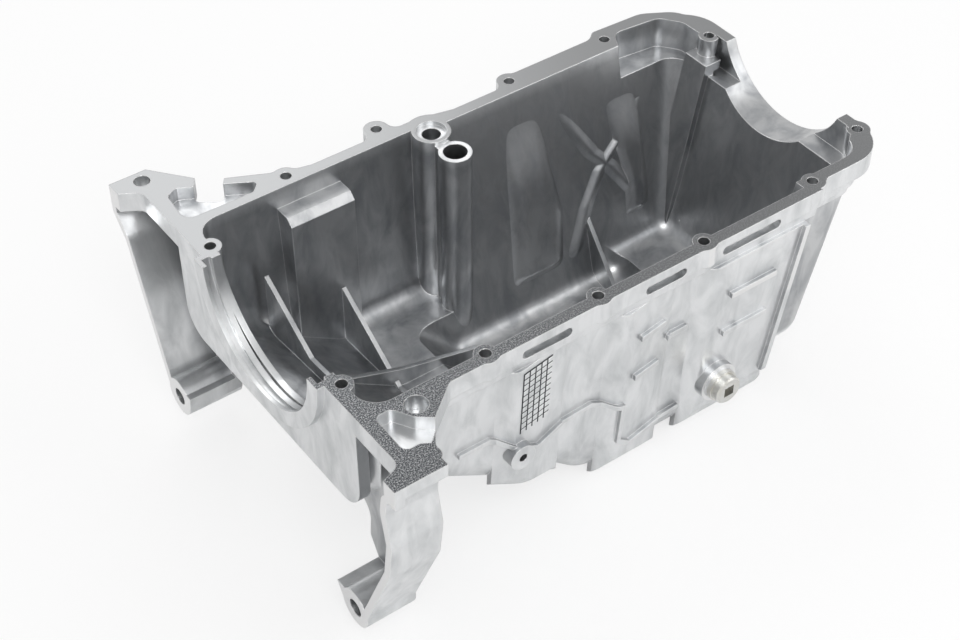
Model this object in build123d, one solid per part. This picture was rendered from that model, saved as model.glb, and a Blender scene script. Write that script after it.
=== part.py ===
from build123d import *
import os
from math import atan2, degrees, radians, tan

# Structural engine oil pan, die cast in aluminium as one piece, with its drain plug and washer.
# Frame, in millimetres: the origin is on the crankshaft's axis, where the plane of the
# gearbox face crosses the joint with the engine block. +X runs along the crankshaft
# towards the timing end, +Z points up into the block, and -Y is the drain plug's side.
# Depths count downwards from the joint. An outline's corner is (place, place, rounding).

# ---- walls and drafts ----
wall = 4.5
draft = 3.2
far_lean = 14.0
front_lean = 11.0
sump_front_lean = 7.0
corner_round = 20.0
reach = 500.0

# ---- the tub: places of its inner faces at the joint ----
rear_inner = 24.0
front_mouth = 431.0
front_inner = 421.0
near_inner = -102.5
far_inner = 98.0
far_inner_sump = 92.0
near_inner_tail = -95.5

# ---- depths of the floor's underside ----
slope_depth = 93.0
middle_depth = 143.0
sump_depth = 172.0
tail_depth = 158.0

# ---- stations of the floor's bends along the crankshaft, and the slope's skew in plan ----
slope_start = 62.0
slope_end = 138.0
rear_fall = 0.165
slope_skew = 0.134
slope_datum = -90.0
rear_room_end = 205.0
sump_start = 150.0
sump_start_depth = 135.0
sump_floor_start = 190.0
sump_end = 366.0
tail_room_start = 318.0
floor_bend = 25.0

# ---- joint flange ----
rail = 8.8
rail_depth = 21.0
plate_depth = 15.0
lug_radius = 9.0
post_radius = 7.5
blend = 7.0
rear_edge = 13.5
far_jog = 228.0

# ---- joint plan beyond the tub: corners of the far step and of both ears ----
far_step = (
    (354, 110, 10),
    (361, 116, 5),
    (404, 114, 20),
    (428, 100, 20),
    (433, 80, 0),
    (433, 60, 0),
)
far_ear_side = 167.0
far_ear_plan = (
    (13.5, 90, 0),
    (13.5, 147, 0),
    (0, 155, 0),
    (0, far_ear_side, 0),
    (27, far_ear_side, 8),
    (48.6, 139.8, 0),
    (64, 128.5, 0),
    (100, 111, 10),
    (130, 104, 0),
    (130, 90, 0),
)
near_ear_side = -163.0
near_ear_plan = (
    (13.5, -90, 0),
    (13.5, -147, 0),
    (0, -152, 0),
    (0, near_ear_side, 0),
    (7, near_ear_side, 0),
    (8, -157.5, 0),
    (39, -157.5, 6),
    (39, -147, 0),
    (50, -130, 0),
    (74, -111.3, 5),
    (90, -105, 0),
    (90, -90, 0),
)

# ---- pockets in the joint face of the ears, and the notch in the far one's edge ----
pocket_depth = 10.0
far_pocket = (
    (22.5, 106, 8),
    (25, 134, 5),
    (33, 138, 4),
    (61, 123.5, 4),
    (80, 112.5, 3),
    (72, 105, 4),
)
near_pocket = (
    (23, -109, 4),
    (34, -109, 5),
    (41.4, -121.9, 5),
    (53, -131, 0),
    (38, -144, 0),
    (32, -140.5, 3),
    (22, -141, 5),
)
notch_place = (56.3, 134.2)
notch_turn = -36.3
notch_width = 19.0
notch_length = 25.0
notch_round = 4.0

# ---- joint bolts ----
bolt_radius = 3.8
bolt_pitch = 85.0
bolt_line = 104.2
near_bolt_start = 104.6
near_bolt_count = 3
far_bolt_start = 278.0
far_bolt_count = 2
seal_bolt_x = 22.7
seal_bolt_y = 75.3
outer_bolts = {
    "far_rear": (97.7, 106.6),
    "far_boss": (173.2, 113.3),
    "far_front": (426.4, 63.7),
    "near_front": (371.1, -100.7),
    "near_corner": (433.7, -78.2),
}
bolt_depth = 24.0
bolt_cover = 5.0

# ---- dowel and ear screw in the joint ----
ear_screw = (19.3, 157.6)
ear_screw_radius = 5.5
dowel = (48.3, -114.4)
dowel_radius = 7.3
dowel_depth = 12.0

# ---- rear crankshaft seal seat ----
seal_lip = 60.0
seal_bore = 64.5
seal_groove = 67.0
seat_rear = 8.5
lip_width = 3.0
groove_width = 6.0
seal_ring = 71.0
seat_front = 21.5
rear_wall_bottom = 84.0

# ---- timing end: the dip for the crankshaft, and corners of the wider mouth over the tail ----
dip_middle = -6.0
dip_half_width = 56.0
dip_drop = 37.0
dip_band = 11.0
mouth_depth = 24.0
mouth_corners = (
    (406, near_inner_tail, 10),
    (front_mouth, -75.5, 15),
    (front_mouth, 62, 3),
    (423, 62, 3),
    (422, 87, 10),
    (411, 102, 10),
    (373, 106, 10),
    (365, 90, 5),
    (355, near_inner_tail, 10),
)

# ---- gearbox ears: corners on the gearbox face, as places across and up ----
ear_depth = 41.0
near_ear_depth = 36.0
ear_wall = 5.5
ear_back = 5.0
lug_hole_radius = 6.25
ear_lug_radius = 14.0
far_lug = (106.7, -146.8)
near_lug = (-110.7, -154.4)
far_ear_outer = ((far_ear_side, -22, 5), (154, -38, 10), (120.5, -143, 0))
far_ear_inner = ((93, -150, 0), (88, -120, 0))
near_ear_outer = (
    (near_ear_side, -10, 3),
    (-154, -17, 6),
    (-152, -30, 8),
    (-157, -55, 12),
    (-153, -84, 12),
    (-124.5, -152, 0),
)
near_ear_inner = (
    (-97, -157, 0),
    (-83, -132, 8),
    (-85, -110, 14),
    (-72, -97, 12),
    (-55, -100, 0),
)

# ---- oil gallery column ----
gallery = (202.0, 90.0)
gallery_radius = 6.5
gallery_bore_depth = 60.0
gallery_ring = 10.5
gallery_boss = 18.0
gallery_recess = 3.0
return_hole = (204.0, 65.0)
return_radius = 8.3
return_bore_depth = 100.0
return_boss = 11.5
return_drop = 3.0

# ---- webs across the floor, as a station and the top edge, and the long rib beside them ----
web = 3.2
cross_webs = (
    (65.0, ((86.0, -55.4), (34.0, -90.2), (-105.0, -83.0))),
    (120.0, ((80.0, -91.0), (29.9, -124.6), (14.8, -134.0), (-105.0, -121.0))),
    (320.0, ((62.0, -116.5), (20.8, -168.0))),
)
long_rib_y = 20.0
long_rib_top = ((80.0, -107.0), (126.0, -124.0), (157.0, -131.7), (189.0, -139.7))

# ---- far wall: pad behind the slope, and the column under the far front bolt ----
far_pad_start = 84.0
far_pad_end = 133.0
far_pad_face = 80.0
far_pad_depth = 15.0
far_pad_chamfer = 5.0
column_face = 413.0
column_start = 50.0
column_width = 22.0
column_depth = 14.0

# ---- near wall's pads: foot, shoulder and end of each, and how far the end stands out ----
pad_proud = 7.0
pad_round = 8.0
pads = ((112.0, 124.0, 165.0, 1.0), (198.0, 208.0, 251.0, 1.0), (271.0, 281.0, 330.0, pad_proud))
corner_pad_start = 320.0
corner_pad_end = 361.5
front_rib = 4.0
front_rib_proud = 3.0
front_rib_depth = 150.0

# ---- near wall's relief: the die's parting line and cast ribs, as places along and up ----
relief_proud = 2.8
relief_start = 84.0
parting_width = 3.5
parting_path = (
    (relief_start, -77.0),
    (107.0, -77.0),
    (122.0, -88.0),
    (143.0, -102.0),
    (163.0, -97.0),
    (189.0, -95.5),
    (205.0, -104.5),
    (212.0, -107.0),
    (211.0, -140.0),
    (222.0, -150.0),
    (268.0, -147.0),
)
cast_rib = 4.5
cast_rib_places = (
    (222.0, -50.0, 22.0),
    (220.0, -85.0, 22.0),
    (249.0, -68.0, 17.0),
    (296.0, -51.5, 39.0),
    (294.0, -86.0, 38.0),
)
rail_slots = ((127.0, 164.5), (222.5, 255.5), (285.5, 335.0))
slot_depth = 10.0
slot_height = 7.0
slot_sink = 5.5
sensor = (127.0, -96.7)
sensor_face = -114.0
sensor_boss_radius = 9.5
sensor_radius = 3.0
sensor_depth = 10.0

# ---- drain ----
drain = (294.0, -130.0)
drain_face = -113.0
drain_boss_radius = 15.0
drain_boss_length = 18.0
plug_radius = 8.0
plug_reach = 15.0
thread_clearance = 0.05
washer_radius = 12.5
washer_thickness = 1.5
washer_clearance = 0.05
plug_flange_radius = 12.0
plug_flange = 3.0
plug_head_radius = 10.5
plug_head = 6.0
plug_square = 8.0
plug_square_depth = 6.0
plug_edge = 1.0


def block(low, high):
    """Box between its lowest and its highest corner."""
    size = Vector(*high) - Vector(*low)
    middle = (Vector(*high) + Vector(*low)) * 0.5
    return Pos(*middle) * Box(size.X, size.Y, size.Z)


def layer(top, bottom):
    """Everything beside the gearbox face between two heights."""
    return block((0, -reach, bottom), (reach, reach, top))


def outline(plane, *corners):
    """Face on a plane from corners, each given as its two places and its rounding."""
    points = [(u, v) for u, v, _ in corners]
    rounds = [r for _, _, r in corners]
    return make_face(plane * FilletPolyline(*points, radius=rounds, close=True))


def sharp(*places):
    """The same places as corners without rounding."""
    return [(u, v, 0) for u, v in places]


def hang(plan, top, bottom):
    """Prism straight down from a plan, between two heights."""
    return Pos(0, 0, bottom) * extrude(plan, amount=top - bottom, dir=(0, 0, 1))


def post(place, radius, top, bottom):
    """Upright round post or drill between two heights."""
    return Pos(place[0], place[1], bottom) * Cylinder(
        radius, top - bottom, align=(Align.CENTER, Align.CENTER, Align.MIN)
    )


def rod(place, radius, start, end):
    """Round bar along the crankshaft's direction, at a place across and up."""
    lying = Pos(start, place[0], place[1]) * Rot(0, 90, 0)
    return lying * Cylinder(radius, end - start, align=(Align.CENTER, Align.CENTER, Align.MIN))


def side_bar(place, radius, start, end):
    """Round bar across the pan, at a place along and up, between two places across."""
    lying = Pos(place[0], start, place[1]) * Rot(-90, 0, 0)
    return lying * Cylinder(radius, end - start, align=(Align.CENTER, Align.CENTER, Align.MIN))


def room_body(ends, floor, sides, leans, inset, top, skew):
    """Drafted room with sharp corners: its two ends, its bent floor and its two sides.

    leans are the angles off the upright of the rear, the front and the far wall. The floor's
    bends are (place, depth, turn), where turn is 1 for a bulge, -1 for a hollow and 0 for none.
    """
    near_slope = tan(radians(draft))
    rear_slope, front_slope, far_slope = (tan(radians(lean)) for lean in leans)
    low = -sump_depth - corner_round
    rear, front = ends[0] + inset, ends[1] - inset
    near, far = sides[0] + inset, sides[1] - inset
    bends = [(x, inset - depth, abs(turn) * (floor_bend - turn * inset)) for x, depth, turn in floor]
    first, last = bends[0], bends[-1]
    over = outline(
        Plane.XZ.offset(-slope_datum),
        *sharp((first[0] - reach, top), (first[0] - reach, first[1])),
        *bends,
        *sharp((last[0] + reach, last[1]), (last[0] + reach, top)),
    )
    length = outline(
        Plane.XZ,
        *sharp((rear - rear_slope * top, top), (rear - rear_slope * low, low)),
        *sharp((front + front_slope * low, low), (front + front_slope * top, top)),
    )
    section = outline(
        Plane.YZ,
        *sharp((near - near_slope * top, top), (near - near_slope * low, low)),
        *sharp((far + far_slope * low, low), (far + far_slope * top, top)),
    )
    body = extrude(over, amount=reach, dir=(-skew, 1, 0), both=True)
    body &= extrude(length, amount=reach, both=True)
    return body & extrude(section, amount=reach, both=True)


def rolled(room, inset, top, low=-reach):
    """Room with its sides' and its closed end's edges between two heights rolled."""
    body, end, square = room
    faces = body.faces()
    near, far = faces.sort_by(Axis.Y)[0], faces.sort_by(Axis.Y)[-1]
    closed, opened = faces.sort_by(Axis.X)[end], faces.sort_by(Axis.X)[-1 - end]
    seam = {edge for face in (near, far, closed) for edge in face.edges()}
    seam -= set(opened.edges())
    if square:
        seam -= set(near.edges()) & set(closed.edges())
    seam = sorted(seam, key=lambda edge: tuple(edge.center()))
    return fillet([edge for edge in seam if low < edge.center().Z < top - 1], corner_round - inset)


def rooms(inset, top=0.0):
    """The three sharp rooms of the tub: each body, its closed end and if a corner stays square."""
    near, rear_wall_face = near_inner - wall, rear_inner - wall
    rear = room_body(
        (rear_wall_face, rear_room_end),
        [
            (slope_start - reach, slope_depth - rear_fall * reach, 0),
            (slope_start, slope_depth, -1),
            (slope_end, middle_depth, 1),
        ],
        (near, far_inner + wall),
        (draft, 0, draft),
        inset,
        top,
        slope_skew,
    )
    sump = room_body(
        (sump_start, sump_end),
        [(sump_start, sump_start_depth, 0), (sump_floor_start, sump_depth, 1)],
        (near, far_inner_sump + wall),
        (0, sump_front_lean, far_lean),
        inset,
        top,
        0,
    )
    tail = room_body(
        (tail_room_start, front_inner + wall),
        [(tail_room_start, tail_depth, 0)],
        (near_inner_tail - wall, far_inner_sump + wall),
        (0, front_lean, far_lean),
        inset,
        top,
        0,
    )
    return (rear, 0, False), (sump, -1, True), (tail, -1, False)


def tub(inset, top=0.0):
    """The tub's outside shrunk by inset: a rear room with a sloping floor, the sump, the tail."""
    return Part() + [rolled(room, inset, top) for room in rooms(inset, top)]


def bolt_places():
    """Places of every joint bolt in the flange."""
    places = [(near_bolt_start + i * bolt_pitch, -bolt_line) for i in range(near_bolt_count)]
    places += [(far_bolt_start + i * bolt_pitch, bolt_line) for i in range(far_bolt_count)]
    places += [(seal_bolt_x, side * seal_bolt_y) for side in (-1, 1)]
    return places + list(outer_bolts.values())


def flange_rail():
    """Deep band round the tub's mouth, which the joint bolts run down into."""
    inset = wall - rail
    band = layer(0, -rail_depth)
    low = wall - rail_depth
    return Part() + [
        rolled((body & band, end, square), inset, 0, low) for body, end, square in rooms(inset)
    ]


def bolt_lug(place):
    """Plan of a round lug with a tongue back to the tub's edge."""
    root_x = min(max(place[0], rear_inner), front_mouth)
    root_y = min(max(place[1], near_inner_tail), far_inner_sump)
    across, along = root_y - place[1], root_x - place[0]
    length = (across**2 + along**2) ** 0.5 + lug_radius
    tongue = Pos(length / 2, 0) * Rectangle(length, 2 * lug_radius)
    turned = Pos(*place) * Rot(0, 0, degrees(atan2(across, along)))
    return turned * (Circle(lug_radius) + tongue)


def joint_plan():
    """Outer outline of the joint flange with its lugs and ears, blended together."""
    step = sump_end - wall
    near_rail, tail_rail = near_inner - rail, near_inner_tail - rail
    far_rail, sump_rail = far_inner + rail, far_inner_sump + rail
    rear_rail, front_rail = rear_inner - rail, front_mouth + rail
    plan = outline(
        Plane.XY,
        *sharp((rear_rail, near_rail), (step, near_rail), (step + rail, tail_rail)),
        (front_rail, tail_rail, corner_round + rail),
        (front_rail, sump_rail, corner_round + rail),
        *sharp((far_jog, sump_rail), (gallery[0], far_rail), (rear_rail, far_rail)),
    )
    root = (far_bolt_start, far_inner_sump, 0)
    plan += outline(Plane.XY, root, (far_bolt_start, far_step[0][1], 0), *far_step)
    plan += outline(Plane.XY, *far_ear_plan)
    plan += outline(Plane.XY, *near_ear_plan)
    plan += Pos(*gallery) * Circle(gallery_boss)
    for place in bolt_places():
        plan += bolt_lug(place)
    plan = offset(plan, amount=blend)
    return offset(plan, amount=-blend)


def ear_outline(corners, top):
    """Outline of an ear on the gearbox face, its open side running up to top."""
    return outline(Plane.YZ, (corners[0][0], top, 0), *corners, (corners[-1][0], top, 0))


def gearbox_ear(outer, inner, lug, depth):
    """Deep ear open towards the gearbox, with a screw lug at its foot and a closed back."""
    body = extrude(ear_outline(outer + inner, 0), amount=depth, dir=(1, 0, 0))
    foot = rod(lug, ear_lug_radius, 0, depth)
    hollow = ear_outline(outer + ((0, outer[-1][1], 0),), reach)
    hollow = extrude(offset(hollow, amount=-ear_wall), amount=depth - ear_back, dir=(1, 0, 0))
    return body + foot - (hollow - foot)


def far_ear():
    """Far ear, its corner behind the joint face cut back to the flange's outline."""
    corner, waist = far_ear_plan[4][:2], far_ear_plan[5][:2]
    plan = outline(Plane.XY, *sharp(corner, waist, (waist[0], corner[1])))
    body = gearbox_ear(far_ear_outer, far_ear_inner, far_lug, ear_depth)
    return body - hang(plan, 0, -reach)


def rear_wall():
    """Wall under the crankshaft seal with the half ring that houses the seal."""
    side = far_inner + wall
    plate = outline(
        Plane.YZ,
        (-side, 0, 0),
        (-side, -rear_wall_bottom, corner_round),
        (side, -rear_wall_bottom, corner_round),
        (side, 0, 0),
    )
    plate = extrude(plate, amount=seat_front - rear_edge, dir=(1, 0, 0))
    ring = rod((0, 0), seal_ring, seat_rear, seat_front) & layer(0, -reach)
    return Pos(rear_edge, 0, 0) * plate + ring


def seal_seat():
    """What the seal's seat cuts away: an outer lip, a groove and the bore."""
    groove_start = seat_rear + lip_width
    groove_end = groove_start + groove_width
    seat = rod((0, 0), seal_lip, -wall, groove_start + wall / 2)
    seat += rod((0, 0), seal_groove, groove_start, groove_end)
    return seat + rod((0, 0), seal_bore, groove_end - wall / 2, seat_front + corner_round)


def dip_bar(extra, start, end):
    """Round bar along the timing end's dip, larger than the dip by extra."""
    radius = (dip_half_width**2 + dip_drop**2) / (2 * dip_drop)
    return rod((dip_middle, radius - dip_drop), radius + extra, start, end)


def dip_band_solid():
    """Thick band of the timing end's wall round the dip."""
    band = dip_bar(dip_band, front_mouth - corner_round, front_mouth + rail)
    return band & layer(0, -reach)


def gallery_column():
    """Oil gallery boss and return boss standing side by side from the floor to the joint."""
    body = post(gallery, gallery_boss - wall, 0, -sump_depth)
    body += post(return_hole, return_boss, -return_drop, -sump_depth)
    between = block(
        (gallery[0] - return_boss / 2, return_hole[1], -sump_depth),
        (gallery[0] + return_boss / 2, gallery[1], -return_drop),
    )
    return body + between


def front_column():
    """Square column under the far front bolt, leaning with the front wall."""
    end = column_start + column_width
    plan = outline(
        Plane.XY,
        *sharp((column_face, column_start), (reach, column_start)),
        *sharp((reach, end), (column_face, end)),
    )
    lean = tan(radians(front_lean))
    column = extrude(plan, amount=sump_depth, dir=(-lean, 0, -1))
    return Pos(0, 0, -column_depth) * column


def far_pad():
    """Flat pad that stands on the far wall behind the slope, with a bevelled top."""
    face, top = far_pad_face, -far_pad_depth
    section = outline(
        Plane.YZ.offset(far_pad_start),
        *sharp((face, -reach), (face, top - far_pad_chamfer), (face + far_pad_chamfer, top)),
        *sharp((reach, top), (reach, -reach)),
    )
    return extrude(section, amount=far_pad_end - far_pad_start, dir=(1, 0, 0))


def cross_web(station, top_edge):
    """Upright web across the floor at a station, under the given top edge."""
    corners = sharp(*top_edge, (top_edge[-1][0], -reach), (top_edge[0][0], -reach))
    plan = outline(Plane.YZ.offset(station - web / 2), *corners)
    return extrude(plan, amount=web, dir=(1, 0, 0))


def long_rib():
    """Low rib along the floor, which ties the cross webs together."""
    start, end = long_rib_top[0][0], long_rib_top[-1][0]
    corners = sharp(*long_rib_top, (end, -reach), (start, -reach))
    plan = outline(Plane.XZ.offset(-long_rib_y), *corners)
    return extrude(plan, amount=web / 2, both=True)


def inner_details():
    """Posts, columns, webs and ribs that stand inside the tub, kept within its walls."""
    body = gallery_column() + front_column() + far_pad() + long_rib()
    for station, top_edge in cross_webs:
        body += cross_web(station, top_edge)
    for place in bolt_places():
        body += post(place, post_radius, 0, -bolt_depth - bolt_cover)
    for side in (-1, 1):
        body += post((seal_bolt_x, side * seal_bolt_y), post_radius, 0, -rear_wall_bottom)
    return body & (tub(0) + flange_rail())


def wall_prism(plan, lean=0.0):
    """Prism from a plan at the joint down along the near wall's draft."""
    return extrude(plan, amount=reach, dir=(-tan(radians(lean)), tan(radians(draft)), -1))


def near_plan(corners):
    """Plan on the near wall, from corners given as a place along and how far it stands out."""
    places = [(x, near_inner - wall - out, r) for x, out, r in corners]
    ends = (corners[-1][0], corners[0][0])
    return outline(Plane.XY, *places, *sharp(*((x, near_inner) for x in ends)))


def pad_prisms(extra):
    """Prisms of the near wall's pads, raised by extra."""
    prisms = [
        wall_prism(
            near_plan(
                (
                    (foot, extra, 0),
                    (shoulder, pad_proud + extra, pad_round),
                    (end, end_proud + extra, 0),
                )
            )
        )
        for foot, shoulder, end, end_proud in pads
    ]
    flat = ((corner_pad_start, pad_proud + extra, 0), (corner_pad_end, pad_proud + extra, 0))
    prisms.append(wall_prism(near_plan(flat), sump_front_lean))
    return prisms


def near_pads():
    """Pads that stand out between the near wall's creases and wrap under the floor."""
    return Part() + pad_prisms(0) & tub(-pad_proud) & layer(-rail_depth, -reach)


def front_corner_rib():
    """Upright rib on the sump's near front corner, leaning with the front wall."""
    out = pad_proud + front_rib_proud
    plan = near_plan(((corner_pad_end - front_rib, out, 0), (corner_pad_end, out, 0)))
    return wall_prism(plan, sump_front_lean) & layer(-rail_depth, -front_rib_depth)


def near_relief():
    """The die's parting line and short cast ribs, which follow the near wall and its pads."""
    flat = ((relief_start, relief_proud, 0), (drain[0], relief_proud, 0))
    raised = Part() + [wall_prism(near_plan(flat))] + pad_prisms(relief_proud)
    half = parting_width / 2
    ridge = offset(Polyline(*parting_path), amount=half, kind=Kind.INTERSECTION, side=Side.BOTH)
    lines = Sketch() + make_face(ridge)
    for start, height, length in cast_rib_places:
        lines += Pos(start + length / 2, height) * Rectangle(length, cast_rib)
    return raised & extrude(Plane.XZ * lines, amount=reach)


def rail_slot(start, end):
    """Long slot sunk in the flange band's near face."""
    plan = SlotOverall(end - start, slot_height)
    plan = Plane.XZ.offset(rail - near_inner) * Pos((start + end) / 2, -slot_depth) * plan
    return extrude(plan, amount=slot_sink, both=True)


def mouth_shell():
    """Walls and ledge round the wider mouth over the tail."""
    around = offset(outline(Plane.XY, *mouth_corners), amount=wall) & joint_plan()
    return hang(around, 0, -mouth_depth - wall)


def joint_cuts():
    """Everything that is cut straight down into the joint face."""
    cuts = [post(place, bolt_radius, wall, -bolt_depth) for place in bolt_places()]
    cuts.append(post(ear_screw, ear_screw_radius, wall, -bolt_depth))
    cuts.append(post(dowel, dowel_radius, wall, -dowel_depth))
    cuts.append(post(gallery, gallery_radius, wall, -gallery_bore_depth))
    cuts.append(post(gallery, gallery_ring, wall, -gallery_recess))
    cuts.append(post(return_hole, return_radius, wall, -return_bore_depth))
    cuts += [hang(outline(Plane.XY, *plan), wall, -pocket_depth) for plan in (far_pocket, near_pocket)]
    notch = RectangleRounded(notch_width, notch_length, notch_round)
    cuts.append(hang(Pos(*notch_place) * Rot(0, 0, notch_turn) * notch, wall, -reach))
    return cuts


def side_cuts():
    """Holes across the pan: the ears' screws, the sensor's and the drain's, and the slots."""
    cuts = [rod(lug, lug_hole_radius, -wall, reach) for lug in (far_lug, near_lug)]
    cuts.append(side_bar(sensor, sensor_radius, sensor_face - wall, sensor_face + sensor_depth))
    cuts.append(along_drain(plug_radius + thread_clearance, -wall, drain_boss_length + wall))
    return cuts + [rail_slot(*ends) for ends in rail_slots]


def pan_casting():
    """The whole casting: outer forms first, then the tub's hollow, then what stands in it."""
    near_ear = gearbox_ear(near_ear_outer, near_ear_inner, near_lug, near_ear_depth)
    shell = far_ear() + near_ear + hang(joint_plan(), 0, -plate_depth)
    shell += tub(0) + flange_rail() + rear_wall() + dip_band_solid() + mouth_shell()
    shell += near_pads() + front_corner_rib() + near_relief()
    shell += along_drain(drain_boss_radius, 0, drain_boss_length)
    shell += side_bar(sensor, sensor_boss_radius, sensor_face, near_inner)
    shell -= tub(wall, wall) + hang(outline(Plane.XY, *mouth_corners), wall, -mouth_depth)
    shell += inner_details()
    shell -= seal_seat() + dip_bar(0, front_inner - corner_round, reach)
    for cut in joint_cuts() + side_cuts():
        shell -= cut
    return shell


def along_drain(radius, start, end):
    """Round bar on the drain's axis, measured inwards from the face of its boss."""
    return side_bar(drain, radius, drain_face + start, drain_face + end)


def sealing_washer():
    """Flat ring between the plug's flange and the drain boss."""
    ring = along_drain(washer_radius, -washer_thickness, 0)
    return ring - along_drain(plug_radius + washer_clearance, -washer_thickness - wall, wall)


def drain_plug():
    """Plug with a round flange, a bevelled head and a square driving recess."""
    seat = -washer_thickness
    back = seat - plug_flange
    end = back - plug_head
    head = along_drain(plug_head_radius, end, seat)
    head = chamfer(head.edges().sort_by(Axis.Y)[0], plug_edge)
    shank = along_drain(plug_radius, seat, plug_reach)
    shank = chamfer(shank.edges().sort_by(Axis.Y)[-1], plug_edge)
    recess = Pos(drain[0], drain_face + end, drain[1]) * Box(
        plug_square, 2 * plug_square_depth, plug_square
    )
    return head + along_drain(plug_flange_radius, back, seat) + shank - recess


if __name__ == "__main__":
    os.makedirs("parts", exist_ok=True)
    export_step(pan_casting(), "parts/pan_casting.step")
    export_step(sealing_washer(), "parts/sealing_washer.step")
    export_step(drain_plug(), "parts/drain_plug.step")
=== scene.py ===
"""Dresses the oil pan: its casting and relief, its drain plug and washer, and the studio."""
import math

import bpy
import numpy as np
from mathutils import Matrix, Vector


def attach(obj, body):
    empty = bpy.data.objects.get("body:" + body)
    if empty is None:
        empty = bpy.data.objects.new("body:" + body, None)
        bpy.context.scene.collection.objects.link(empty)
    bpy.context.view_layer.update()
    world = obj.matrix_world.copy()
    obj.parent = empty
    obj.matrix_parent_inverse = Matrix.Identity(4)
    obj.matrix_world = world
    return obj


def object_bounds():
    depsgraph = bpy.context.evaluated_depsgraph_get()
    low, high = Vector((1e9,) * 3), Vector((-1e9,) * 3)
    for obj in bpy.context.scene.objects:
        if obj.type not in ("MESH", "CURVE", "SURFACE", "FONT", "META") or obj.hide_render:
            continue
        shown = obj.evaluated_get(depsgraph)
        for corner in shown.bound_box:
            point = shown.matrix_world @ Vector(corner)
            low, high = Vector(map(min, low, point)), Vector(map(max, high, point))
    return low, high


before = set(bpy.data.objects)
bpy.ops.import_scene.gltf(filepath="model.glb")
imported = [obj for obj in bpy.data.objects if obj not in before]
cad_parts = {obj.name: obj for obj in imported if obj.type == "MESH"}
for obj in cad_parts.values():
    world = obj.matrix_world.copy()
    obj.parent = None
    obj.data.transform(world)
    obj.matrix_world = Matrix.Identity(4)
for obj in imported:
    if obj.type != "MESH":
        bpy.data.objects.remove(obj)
cad_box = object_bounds()

bl_info = {
    "name": "Engine oil pan",
    "version": (1, 0, 0),
    "blender": (4, 5, 0),
    "location": "View3D > Sidebar > Oil pan",
    "description": "Dresses a die-cast engine oil pan and sets up its studio",
    "category": "Object",
}

MM = 0.001
PAN, PLUG, WASHER = "pan_casting", "drain_plug", "sealing_washer"
DRAFT = math.tan(math.radians(3.2))
FAR_LEAN = math.tan(math.radians(14.0))
FAR_WALL = 92.0


class OilPanCasting(bpy.types.PropertyGroup):
    """Colours and grain of the casting."""

    skin: bpy.props.StringProperty(
        name="Outer skin", description="Bare die-cast skin outside, sRGB hex", default="#E2E3E4"
    )
    skin_dark: bpy.props.StringProperty(
        name="Outer streaks",
        description="Flow streaks of the outer skin, sRGB hex",
        default="#C9CBCC",
    )
    # Painted shade: the inner skin is the outer skin painted darker for the shade inside the tub.
    inside: bpy.props.StringProperty(
        name="Inner skin", description="Skin inside the tub, sRGB hex", default="#C0C1C2"
    )
    # Inner flow streaks: the streaks are the metal's own tone, painted darker than the outer ones as
    # painted shade inside the tub.
    inside_streaks_and_painted_shade: bpy.props.StringProperty(
        name="Inner streaks",
        description="Dark flow streaks inside, sRGB hex",
        default="#9B9DA0",
    )
    machined: bpy.props.StringProperty(
        name="Machined face", description="Milled joint face, sRGB hex", default="#949596"
    )
    # Painted shade: the milled joint face's dark painted reflection on its near side, also used as
    # painted shade in the grid's grooves.
    machined_painted_shade: bpy.props.StringProperty(
        name="Machined face, near side",
        description="Milled face in its shade, sRGB hex",
        default="#3E4043",
    )
    # Also the colour of the painted highlight on the rounded edges.
    milled: bpy.props.StringProperty(
        name="Gearbox face",
        description="Freshly milled gearbox face, sRGB hex",
        default="#E6E6E6",
    )
    grain: bpy.props.FloatProperty(
        name="Grain",
        description="Size of the cast skin's grain in millimetres",
        default=1.1,
        min=0.1,
    )
    streak: bpy.props.FloatProperty(
        name="Streak",
        description="Width of the metal's flow streaks in millimetres",
        default=14.0,
        min=1.0,
    )


class OilPanFasteners(bpy.types.PropertyGroup):
    """Colours and thread of the drain plug and its washer."""

    zinc: bpy.props.StringProperty(
        name="Zinc plate", description="Bright zinc plate, sRGB hex", default="#DCDDDE"
    )
    zinc_warm: bpy.props.StringProperty(
        name="Zinc tint", description="Warmer patches of the plate, sRGB hex", default="#CBC8BE"
    )
    washer: bpy.props.StringProperty(
        name="Washer", description="Soft aluminium washer, sRGB hex", default="#DADBDC"
    )
    pitch: bpy.props.FloatProperty(
        name="Thread pitch",
        description="Pitch of the plug's thread in millimetres",
        default=1.5,
        min=0.5,
    )


class OilPanGrid(bpy.types.PropertyGroup):
    """Sizes of the plain grid cast on the near wall."""

    start: bpy.props.FloatProperty(
        name="Start",
        description="Place of its first edge along the pan, in millimetres",
        default=127.5,
    )
    top: bpy.props.FloatProperty(
        name="Top",
        description="Depth of its top edge below the joint, in millimetres",
        default=25.0,
    )
    cell: bpy.props.FloatProperty(
        name="Cell", description="Size of one cell in millimetres", default=5.0, min=1.0
    )
    columns: bpy.props.IntProperty(
        name="Columns",
        description="Cells along the pan",
        default=5,
        min=1,
    )
    rows: bpy.props.IntProperty(
        name="Rows",
        description="Cells down the wall",
        default=11,
        min=1,
    )
    line: bpy.props.FloatProperty(
        name="Line",
        description="Width of the raised lines in millimetres",
        default=0.9,
        min=0.2,
    )
    proud: bpy.props.FloatProperty(
        name="Proud",
        description="Height of the raised lines in millimetres",
        default=0.7,
        min=0.1,
    )


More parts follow.
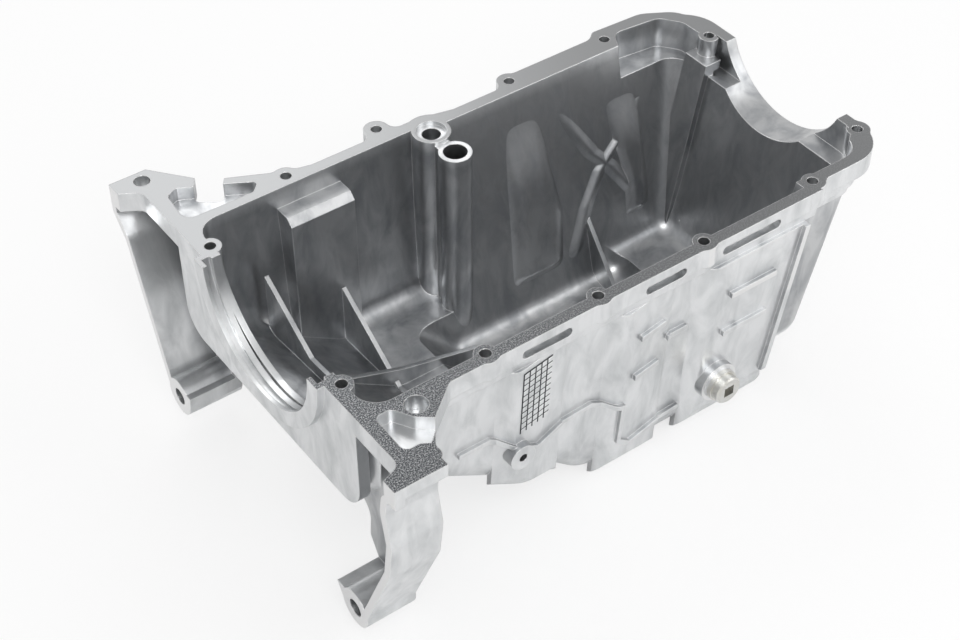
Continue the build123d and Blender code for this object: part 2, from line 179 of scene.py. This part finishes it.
class OilPanStudio(bpy.types.PropertyGroup):
    """The camera's place and the studio's light."""

    azimuth: bpy.props.FloatProperty(
        name="Azimuth", description="Camera's turn round the pan, in degrees", default=-36.0458
    )
    elevation: bpy.props.FloatProperty(
        name="Elevation", description="Camera's height angle, in degrees", default=43.2772
    )
    roll: bpy.props.FloatProperty(
        name="Roll",
        description="Camera's roll, in degrees",
        default=-0.1791,
    )
    distance: bpy.props.FloatProperty(
        name="Distance",
        description="From the camera to its target, in millimetres",
        default=1101.73,
    )
    lens: bpy.props.FloatProperty(
        name="Lens",
        description="Focal length for a 36 mm sensor, in millimetres",
        default=69.0314,
    )
    floor: bpy.props.StringProperty(
        name="Floor",
        description="Floor's colour, sRGB hex",
        default="#F6F6F6",
    )
    floor_lift: bpy.props.FloatProperty(
        name="Floor lift",
        description="Share of plain white in the floor that is seen",
        default=0.7,
    )
    sky: bpy.props.FloatProperty(
        name="Sky",
        description="Strength of the even light from all round",
        default=0.75,
        min=0.0,
    )


SETTINGS = {
    "pan_casting": OilPanCasting,
    "pan_fasteners": OilPanFasteners,
    "pan_grid": OilPanGrid,
    "pan_studio": OilPanStudio,
}


def linear(hex_code):
    """Linear RGBA of an sRGB hex colour: each part is undone by the sRGB curve."""
    parts = [int(hex_code[i : i + 2], 16) / 255 for i in (1, 3, 5)]
    return [c / 12.92 if c <= 0.04045 else ((c + 0.055) / 1.055) ** 2.4 for c in parts] + [1.0]


def add_node(tree, kind, inputs=None, **settings):
    """Adds a node, sets its settings, and fills its inputs with values or with links."""
    made = tree.nodes.new(kind)
    for name, value in settings.items():
        setattr(made, name, value)
    for name, value in (inputs or {}).items():
        if isinstance(value, bpy.types.NodeSocket):
            tree.links.new(value, made.inputs[name])
        else:
            made.inputs[name].default_value = value
    return made


def new_material(name):
    """Empty material with its node tree and the object's place and normal, in millimetres."""
    material = bpy.data.materials.new(name)
    material.use_nodes = True
    tree = material.node_tree
    tree.nodes.clear()
    space = add_node(tree, "ShaderNodeTexCoord")
    place = add_node(
        tree,
        "ShaderNodeVectorMath",
        {0: space.outputs["Object"], "Scale": 1 / MM},
        operation="SCALE",
    )
    return material, tree, place.outputs[0], space.outputs["Normal"]


def region(tree, limits):
    """Mask: the product of ramps, one per value, each from 0 at its first limit to 1 at its second."""
    mask = 1.0
    for value, low, high in limits:
        ramp = add_node(
            tree, "ShaderNodeMapRange", {"Value": value, "From Min": low, "From Max": high}
        )
        mask = add_node(
            tree, "ShaderNodeMath", {0: ramp.outputs["Result"], 1: mask}, operation="MULTIPLY"
        ).outputs[0]
    return mask


def blended(tree, mask, first, second):
    """Colour that goes from the first to the second with the mask."""
    mix = add_node(tree, "ShaderNodeMix", {0: mask, 6: first, 7: second}, data_type="RGBA")
    return mix.outputs[2]


def cast_aluminium(sizes):
    """Aluminium alloy, pressure die cast and left bare, with milled joint faces.

    The skin is a soft grey with fine grain and long cloudy flow streaks; inside the tub it is
    painted darker, which is painted shade. The milled faces are flat, smooth and speckled with
    closed pores, and they show faint arcs of the cutter. The joint face is painted darker
    towards its near side, as painted shade and a dark painted reflection, and the rounded
    edges are painted near white as a painted highlight.
    """
    material, tree, place, normal = new_material("cast_aluminium_bare")
    at = add_node(tree, "ShaderNodeSeparateXYZ", {"Vector": place})
    facing = add_node(tree, "ShaderNodeSeparateXYZ", {"Vector": normal})
    x, y, z = (at.outputs[axis] for axis in "XYZ")
    nx, ny, nz = (facing.outputs[axis] for axis in "XYZ")
    joint = region(tree, [(z, -0.3, -0.1), (nz, 0.9, 0.95)])
    # Painted shade and dark painted reflection on the joint face, strongest at the near side and
    # towards the gearbox end.
    near_side_painted_shade = region(tree, [(y, 40.0, -70.0), (x, 560.0, 60.0)])
    gearbox = region(tree, [(x, 0.3, 0.1), (nx, -0.9, -0.95)])
    drain_seat = region(tree, [(y, -112.7, -112.9), (ny, -0.9, -0.95), (x, 270.0, 272.0)])
    # Painted shade mask: faces below the joint that neither face down nor belong to the outer near
    # wall, mostly the tub's inside, take the darker inner colours.
    depth = region(tree, [(z, -1.0, -9.0), (x, 23.0, 30.0), (nz, -0.35, -0.15)])
    far_enough = region(tree, [(y, -100.0, -97.0)])
    facing_in = region(tree, [(ny, -0.4, 0.0)])
    inward = add_node(
        tree, "ShaderNodeMath", {0: facing_in, 1: far_enough}, operation="MAXIMUM"
    ).outputs[0]
    inside = add_node(tree, "ShaderNodeMath", {0: depth, 1: inward}, operation="MULTIPLY").outputs[0]

    stretched = add_node(
        tree, "ShaderNodeVectorMath", {0: place, 1: (0.9, 0.9, 0.4)}, operation="MULTIPLY"
    ).outputs[0]
    streaks = add_node(
        tree,
        "ShaderNodeTexNoise",
        {
            "Vector": stretched,
            "Scale": 1 / sizes.streak,
            "Detail": 4.0,
            "Roughness": 0.55,
            "Distortion": 0.5,
        },
    ).outputs["Fac"]
    cloud = add_node(
        tree, "ShaderNodeMapRange", {"Value": streaks, "From Min": 0.32, "From Max": 0.62}
    ).outputs["Result"]
    grain = add_node(
        tree, "ShaderNodeTexNoise", {"Vector": place, "Scale": 1 / sizes.grain, "Detail": 3.0}
    ).outputs["Fac"]
    pores = add_node(
        tree, "ShaderNodeTexNoise", {"Vector": place, "Scale": 1 / (0.8 * sizes.grain), "Detail": 2.0}
    ).outputs["Fac"]
    speckle = add_node(
        tree, "ShaderNodeMapRange", {"Value": pores, "From Min": 0.44, "From Max": 0.68}
    ).outputs["Result"]
    cutter = add_node(
        tree,
        "ShaderNodeTexWave",
        {"Vector": place, "Scale": 0.09, "Distortion": 1.5, "Detail": 1.0},
        wave_type="RINGS",
        rings_direction="Z",
    ).outputs["Fac"]

    rounded = add_node(tree, "ShaderNodeBevel", {"Radius": 0.9 * MM}, samples=4)
    true_normal = add_node(tree, "ShaderNodeNewGeometry").outputs["True Normal"]
    bent = add_node(
        tree,
        "ShaderNodeVectorMath",
        {0: rounded.outputs["Normal"], 1: true_normal},
        operation="DOT_PRODUCT",
    ).outputs["Value"]
    # Painted highlight mask: near the edges, where the rounded normal bends away from the true normal.
    edge = add_node(
        tree, "ShaderNodeMapRange", {"Value": bent, "From Min": 0.99, "From Max": 0.85}
    ).outputs["Result"]

    skin = blended(tree, cloud, linear(sizes.skin_dark), linear(sizes.skin))
    # Inner skin with its flow streaks, painted darker as painted shade.
    painted_shade_inside = blended(tree, cloud, linear(sizes.inside_streaks_and_painted_shade), linear(sizes.inside))
    colour = blended(tree, inside, skin, painted_shade_inside)
    # Joint face colour with its painted shade towards the near side.
    shaded = blended(tree, near_side_painted_shade, linear(sizes.machined), linear(sizes.machined_painted_shade))
    pored = blended(tree, speckle, shaded, linear(sizes.machined))
    colour = blended(tree, joint, colour, pored)
    colour = blended(tree, gearbox, colour, linear(sizes.milled))
    colour = blended(tree, drain_seat, colour, linear(sizes.milled))
    # Painted highlight: the edges are painted in the milled faces' near white.
    colour = blended(tree, edge, colour, linear(sizes.milled))

    flat = add_node(tree, "ShaderNodeMath", {0: joint, 1: gearbox}, operation="MAXIMUM").outputs[0]
    rough = add_node(
        tree, "ShaderNodeMapRange", {"Value": cloud, "To Min": 0.42, "To Max": 0.30}
    ).outputs["Result"]
    rough = add_node(tree, "ShaderNodeMix", {0: flat, 2: rough, 3: 0.34}).outputs[0]
    skin_bump = add_node(
        tree,
        "ShaderNodeBump",
        {
            "Height": grain,
            "Strength": 0.22,
            "Distance": 0.25 * MM,
            "Normal": rounded.outputs["Normal"],
        },
    ).outputs["Normal"]
    mill_bump = add_node(
        tree,
        "ShaderNodeBump",
        {
            "Height": cutter,
            "Strength": 0.06,
            "Distance": 0.05 * MM,
            "Normal": rounded.outputs["Normal"],
        },
    ).outputs["Normal"]
    bump = add_node(
        tree, "ShaderNodeMix", {0: flat, 4: skin_bump, 5: mill_bump}, data_type="VECTOR"
    ).outputs[1]
    shader = add_node(
        tree,
        "ShaderNodeBsdfPrincipled",
        {"Base Color": colour, "Metallic": 1.0, "Roughness": rough, "Normal": bump},
    )
    add_node(tree, "ShaderNodeOutputMaterial", {"Surface": shader.outputs["BSDF"]})
    return material


def zinc_plated_steel(sizes):
    """Steel plug, turned, rolled and zinc plated: bright, slightly warm, with a thread."""
    material, tree, place, normal = new_material("zinc_plated_steel_plug")
    at = add_node(tree, "ShaderNodeSeparateXYZ", {"Vector": place})
    patches = add_node(tree, "ShaderNodeTexNoise", {"Vector": place, "Scale": 0.12, "Detail": 3.0})
    colour = blended(tree, patches.outputs["Fac"], linear(sizes.zinc), linear(sizes.zinc_warm))
    turns = add_node(
        tree, "ShaderNodeMath", {0: at.outputs["Y"], 1: 2 * math.pi / sizes.pitch}, operation="MULTIPLY"
    ).outputs[0]
    crests = add_node(tree, "ShaderNodeMath", {0: turns}, operation="SINE").outputs[0]
    shank = region(tree, [(at.outputs["Y"], -112.5, -111.5)])
    thread = add_node(tree, "ShaderNodeMath", {0: crests, 1: shank}, operation="MULTIPLY").outputs[0]
    fine = add_node(tree, "ShaderNodeTexNoise", {"Vector": place, "Scale": 1.4, "Detail": 2.0})
    height = add_node(
        tree, "ShaderNodeMath", {0: thread, 1: fine.outputs["Fac"]}, operation="ADD"
    ).outputs[0]
    bump = add_node(
        tree, "ShaderNodeBump", {"Height": height, "Strength": 0.5, "Distance": 0.3 * MM}
    ).outputs["Normal"]
    shader = add_node(
        tree,
        "ShaderNodeBsdfPrincipled",
        {"Base Color": colour, "Metallic": 1.0, "Roughness": 0.28, "Normal": bump},
    )
    add_node(tree, "ShaderNodeOutputMaterial", {"Surface": shader.outputs["BSDF"]})
    return material


def annealed_aluminium(sizes):
    """Soft aluminium washer, punched and annealed: pale, with a fine noisy grain in its roughness and
    surface.
    """
    material, tree, place, _ = new_material("annealed_aluminium_washer")
    fine = add_node(tree, "ShaderNodeTexNoise", {"Vector": place, "Scale": 0.9, "Detail": 3.0})
    rough = add_node(
        tree,
        "ShaderNodeMapRange",
        {"Value": fine.outputs["Fac"], "To Min": 0.3, "To Max": 0.5},
    ).outputs["Result"]
    bump = add_node(
        tree, "ShaderNodeBump", {"Height": fine.outputs["Fac"], "Strength": 0.15, "Distance": 0.1 * MM}
    ).outputs["Normal"]
    shader = add_node(
        tree,
        "ShaderNodeBsdfPrincipled",
        {"Base Color": linear(sizes.washer), "Metallic": 1.0, "Roughness": rough, "Normal": bump},
    )
    add_node(tree, "ShaderNodeOutputMaterial", {"Surface": shader.outputs["BSDF"]})
    return material


def painted_groove_shade(sizes):
    """The casting's metal in the grid's fine grooves, dark and dull: its dark colour is painted shade
    in the grooves.
    """
    material, tree, _, _ = new_material("cast_aluminium_painted_groove_shade")
    shader = add_node(
        tree,
        "ShaderNodeBsdfPrincipled",
        {"Base Color": linear(sizes.machined_painted_shade), "Metallic": 1.0, "Roughness": 0.6},
    )
    add_node(tree, "ShaderNodeOutputMaterial", {"Surface": shader.outputs["BSDF"]})
    return material


def dress(node, material):
    """Gives a CAD node its material in every slot it has."""
    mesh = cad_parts[node].data
    if not mesh.materials:
        mesh.materials.append(material)
    for slot in range(len(mesh.materials)):
        mesh.materials[slot] = material


def wall_grid(sizes):
    """Plain grid on the near wall's first pad, as a closed thin plate with a groove per line.

    Its front is a height over two lengths, u along the pan and v down the wall: the pad's
    sloping face plus the plate, less a groove where u or v is within half a line of a
    multiple of the cell. The outer ring of points is sunk into the pad, and one face closes
    the back. Faces whose corners lie in a groove take the second material, whose dark colour
    is painted shade in the grooves.
    """
    step = 0.25
    width, tall = sizes.columns * sizes.cell, sizes.rows * sizes.cell
    u = np.linspace(-step, width + step, int(width / step) + 3)
    v = np.linspace(-step, tall + step, int(tall / step) + 3)
    along, down = np.meshgrid(u, v, indexing="ij")
    gaps = [np.abs(g - sizes.cell * np.round(g / sizes.cell)) for g in (along, down)]
    ridge = np.clip((sizes.line / 2 + step / 2 - np.minimum(*gaps)) / step, 0, 1)
    x = sizes.start + along
    z = -sizes.top - down
    fall = (x - 124.0) / (165.0 - 124.0)
    pad = -107.0 - (7.0 - 6.0 * fall) - DRAFT * z
    y = pad - 0.1 - sizes.proud * (1 - ridge)
    y[0, :], y[-1, :], y[:, 0], y[:, -1] = (
        rim + 1.4 for rim in (pad[0, :], pad[-1, :], pad[:, 0], pad[:, -1])
    )
    mesh = closed_plate("wall_grid", x, y, z)
    # Faces in a groove take the second material: painted shade in the grooves.
    groove = (ridge[:-1, :-1] + ridge[1:, 1:]) > 1
    mesh.polygons.foreach_set("material_index", np.append(groove.reshape(-1), False).astype("i"))
    return mesh


def closed_plate(name, x, y, z):
    """Closed mesh from a grid of points, whose outer ring is spanned by one back face."""
    rows, columns = x.shape
    places = np.stack([x, y, z], axis=-1).reshape(-1, 3) * MM
    index = np.arange(rows * columns).reshape(rows, columns)
    quads = np.stack([index[:-1, :-1], index[1:, :-1], index[1:, 1:], index[:-1, 1:]], axis=-1)
    ring = np.concatenate([index[:, 0], index[-1, 1:], index[-2::-1, -1], index[0, -2:0:-1]])
    mesh = bpy.data.meshes.new(name)
    mesh.from_pydata(places.tolist(), [], quads.reshape(-1, 4).tolist() + [ring[::-1].tolist()])
    mesh.shade_smooth()
    return mesh


def column(x, left, right, proud):
    """Rounded column between two lines: proud times one less the fourth power across it."""
    across = (2 * x - left - right) / (right - left)
    return proud * np.clip(1 - across**4, 0, None)


def ribbon(x, line, width, proud):
    """Soft ridge along a line: proud times a bell of the distance over the width."""
    return proud * np.exp(-(((x - line) / width) ** 2))


def far_wall_flutes():
    """Shallow cast columns and crossing ribs on the far wall of the sump, as a closed plate.

    Its front is a height over two lengths, x along the pan and z down the leaning wall: the
    largest of two rounded columns, two crossing soft ridges and a sunk base. Each line's
    place along the pan is read off a few bends by its depth. The outer ring is sunk deeper.
    Towards the timing end the plate starts lower, under the shelf, and ends higher.
    """
    top, bottom, start, end = -14.0, -146.0, 218.0, 392.0
    u, v = np.linspace(0, 1, 300), np.linspace(0, 1, 180)
    along, down = np.meshgrid(u, v, indexing="ij")
    x = start + along * (end - start)
    step_in = 14.0 * np.clip((x - 325.0) / 20.0, 0, 1)
    z = top - step_in + down * (bottom - top + 2 * step_in)
    x = x - 0.12 * along * (top - z)
    left_edge = np.interp(-z, (22, 94, 154), (260, 253, 247))
    right_edge = np.interp(-z, (22, 66, 102, 165), (290, 295, 300, 291))
    second_left = np.interp(-z, (22, 60, 100, 150), (343, 350, 358, 352))
    second_right = np.interp(-z, (22, 63, 132), (376, 378, 381))
    rising = np.interp(-z, (30, 69, 85, 115), (308, 331, 345.6, 366.5))
    falling = np.interp(-z, (30, 58.5, 83.5, 107, 140), (392, 367, 337, 320.7, 305))
    ends = np.clip(np.minimum(down, 5 * (1 - down)) * 2.2, 0, 1)
    sides = np.clip(np.minimum(along, 1 - along) * 14, 0, 1)
    fade = ends * ends * (3 - 2 * ends) * sides
    height = np.maximum(
        column(x, left_edge, right_edge, 6.0), column(x, second_left, second_right, 5.0)
    )
    height = np.maximum(height, ribbon(x, rising, 5.5, 2.8))
    height = np.maximum(height, ribbon(x, falling, 5.5, 2.8))
    height = height * fade - 0.5
    height[0, :] = height[-1, :] = height[:, 0] = height[:, -1] = -2.0
    wall = FAR_WALL + FAR_LEAN * z
    return closed_plate("far_wall_flutes", x[::-1], (wall - height)[::-1], z[::-1])


class OILPAN_OT_casting(bpy.types.Operator):
    """Give the casting its bare skin and its milled faces"""

    bl_idname = "oilpan.casting"
    bl_label = "Casting"

    def execute(self, context):
        dress(PAN, cast_aluminium(context.scene.pan_casting))
        return {"FINISHED"}


class OILPAN_OT_fasteners(bpy.types.Operator):
    """Give the drain plug and its washer their metals"""

    bl_idname = "oilpan.fasteners"
    bl_label = "Plug and washer"

    def execute(self, context):
        sizes = context.scene.pan_fasteners
        dress(PLUG, zinc_plated_steel(sizes))
        dress(WASHER, annealed_aluminium(sizes))
        return {"FINISHED"}


def cast_on(scene, mesh):
    """Adds a piece of the casting's own metal, which rides on the pan."""
    piece = bpy.data.objects.new(mesh.name, mesh)
    scene.collection.objects.link(piece)
    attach(piece, "pan")


class OILPAN_OT_grid(bpy.types.Operator):
    """Cast the plain grid onto the near wall"""

    bl_idname = "oilpan.grid"
    bl_label = "Wall grid"

    def execute(self, context):
        mesh = wall_grid(context.scene.pan_grid)
        mesh.materials.append(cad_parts[PAN].data.materials[0])
        # The second material is painted shade in the grooves.
        mesh.materials.append(painted_groove_shade(context.scene.pan_casting))
        cast_on(context.scene, mesh)
        return {"FINISHED"}


class OILPAN_OT_flutes(bpy.types.Operator):
    """Cast the shallow columns and crossing ribs onto the far wall"""

    bl_idname = "oilpan.flutes"
    bl_label = "Far wall flutes"

    def execute(self, context):
        mesh = far_wall_flutes()
        mesh.materials.append(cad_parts[PAN].data.materials[0])
        cast_on(context.scene, mesh)
        return {"FINISHED"}


class OILPAN_OT_studio(bpy.types.Operator):
    """Set up the floor, the soft lights and the camera"""

    bl_idname = "oilpan.studio"
    bl_label = "Studio"

    def execute(self, context):
        sizes = context.scene.pan_studio
        lay_floor(context.scene, sizes)
        light_sky(context.scene, sizes)
        hang_lamps(context.scene)
        place_camera(context.scene, sizes)
        context.scene.view_settings.view_transform = "Standard"
        return {"FINISHED"}


def lay_floor(scene, sizes):
    """Wide pale floor under the pan, matt, which keeps the pan's shadow."""
    low = cad_box[0][2] - 0.0005
    side = 6.0
    corners = [(-side, -side, low), (side, -side, low), (side, side, low), (-side, side, low)]
    mesh = bpy.data.meshes.new("floor")
    mesh.from_pydata(corners, [], [(0, 1, 2, 3)])
    floor = bpy.data.objects.new("floor", mesh)
    scene.collection.objects.link(floor)
    material, tree, _, _ = new_material("matt_paper_floor")
    paper = add_node(
        tree, "ShaderNodeBsdfPrincipled", {"Base Color": linear(sizes.floor), "Roughness": 0.9}
    )
    white = add_node(tree, "ShaderNodeEmission", {"Strength": 1.0})
    rays = add_node(tree, "ShaderNodeLightPath")
    lift = add_node(
        tree,
        "ShaderNodeMath",
        {0: rays.outputs["Is Camera Ray"], 1: sizes.floor_lift},
        operation="MULTIPLY",
    ).outputs[0]
    lifted = add_node(
        tree, "ShaderNodeMixShader", {0: lift, 1: paper.outputs[0], 2: white.outputs[0]}
    )
    add_node(tree, "ShaderNodeOutputMaterial", {"Surface": lifted.outputs[0]})
    mesh.materials.append(material)


def light_sky(scene, sizes):
    """Even light from all round; what the camera and reflections see of it is white."""
    world = bpy.data.worlds.new("studio_sky")
    world.use_nodes = True
    scene.world = world
    tree = world.node_tree
    tree.nodes.clear()
    rays = add_node(tree, "ShaderNodeLightPath")
    seen = rays.outputs["Is Camera Ray"]
    for kind in ("Is Glossy Ray", "Is Transmission Ray"):
        seen = add_node(
            tree, "ShaderNodeMath", {0: seen, 1: rays.outputs[kind]}, operation="MAXIMUM"
        ).outputs[0]
    strength = add_node(tree, "ShaderNodeMix", {0: seen, 2: sizes.sky, 3: 1.0}).outputs[0]
    sky = add_node(tree, "ShaderNodeBackground", {"Strength": strength})
    add_node(tree, "ShaderNodeOutputWorld", {"Surface": sky.outputs[0]})


LAMPS = {
    "key": ((-0.5, -1.3, 1.5), 1.1, 16.0),
    "fill": ((1.4, -0.9, 0.9), 1.2, 7.0),
    "back": ((0.5, 1.4, 1.2), 1.2, 8.0),
}


def hang_lamps(scene):
    """Large soft area lamps that all face the pan's middle."""
    middle = (Vector(cad_box[0]) + Vector(cad_box[1])) / 2
    for name, (place, size, power) in LAMPS.items():
        lamp = bpy.data.lights.new(name, "AREA")
        lamp.size = size
        lamp.energy = power
        hung = bpy.data.objects.new(name, lamp)
        hung.location = place
        hung.rotation_euler = (middle - Vector(place)).to_track_quat("-Z", "Y").to_euler()
        scene.collection.objects.link(hung)


CAMERA_TARGET = (118.848, -79.366, 0.0)


def place_camera(scene, sizes):
    """Camera on a sphere round its target, turned by azimuth and elevation, then rolled."""
    turn, height, roll = (math.radians(a) for a in (sizes.azimuth, sizes.elevation, sizes.roll))
    back = Vector(
        (math.sin(turn) * math.cos(height), -math.cos(turn) * math.cos(height), math.sin(height))
    )
    right = (-back).cross(Vector((0, 0, 1))).normalized()
    up = right.cross(-back)
    axes = Matrix((right, up, back)).transposed() @ Matrix.Rotation(roll, 3, "Z")
    target = Vector(CAMERA_TARGET) * MM
    camera = bpy.data.cameras.new("camera")
    camera.lens = sizes.lens
    camera.sensor_width = 36.0
    camera.clip_end = 20.0
    held = bpy.data.objects.new("camera", camera)
    held.matrix_world = Matrix.Translation(target + back * sizes.distance * MM) @ axes.to_4x4()
    scene.collection.objects.link(held)
    scene.camera = held


class OILPAN_PT_panel(bpy.types.Panel):
    """Lists the pan's sizes and its operators"""

    bl_label = "Oil pan"
    bl_idname = "OILPAN_PT_panel"
    bl_space_type = "VIEW_3D"
    bl_region_type = "UI"
    bl_category = "Oil pan"

    def draw(self, context):
        for name, group in SETTINGS.items():
            box = self.layout.box()
            for prop in group.__annotations__:
                box.prop(getattr(context.scene, name), prop)
        for operator in OPERATORS:
            self.layout.operator(operator.bl_idname)


OPERATORS = (
    OILPAN_OT_casting,
    OILPAN_OT_fasteners,
    OILPAN_OT_grid,
    OILPAN_OT_flutes,
    OILPAN_OT_studio,
)
CLASSES = (*SETTINGS.values(), *OPERATORS, OILPAN_PT_panel)


def register():
    for made in CLASSES:
        bpy.utils.register_class(made)
    for name, group in SETTINGS.items():
        setattr(bpy.types.Scene, name, bpy.props.PointerProperty(type=group))


def unregister():
    for name in SETTINGS:
        delattr(bpy.types.Scene, name)
    for made in reversed(CLASSES):
        bpy.utils.unregister_class(made)


def main():
    """Registers the add-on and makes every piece."""
    register()
    bpy.ops.oilpan.casting()
    bpy.ops.oilpan.fasteners()
    bpy.ops.oilpan.grid()
    bpy.ops.oilpan.flutes()
    bpy.ops.oilpan.studio()


if __name__ == "__main__":
    main()
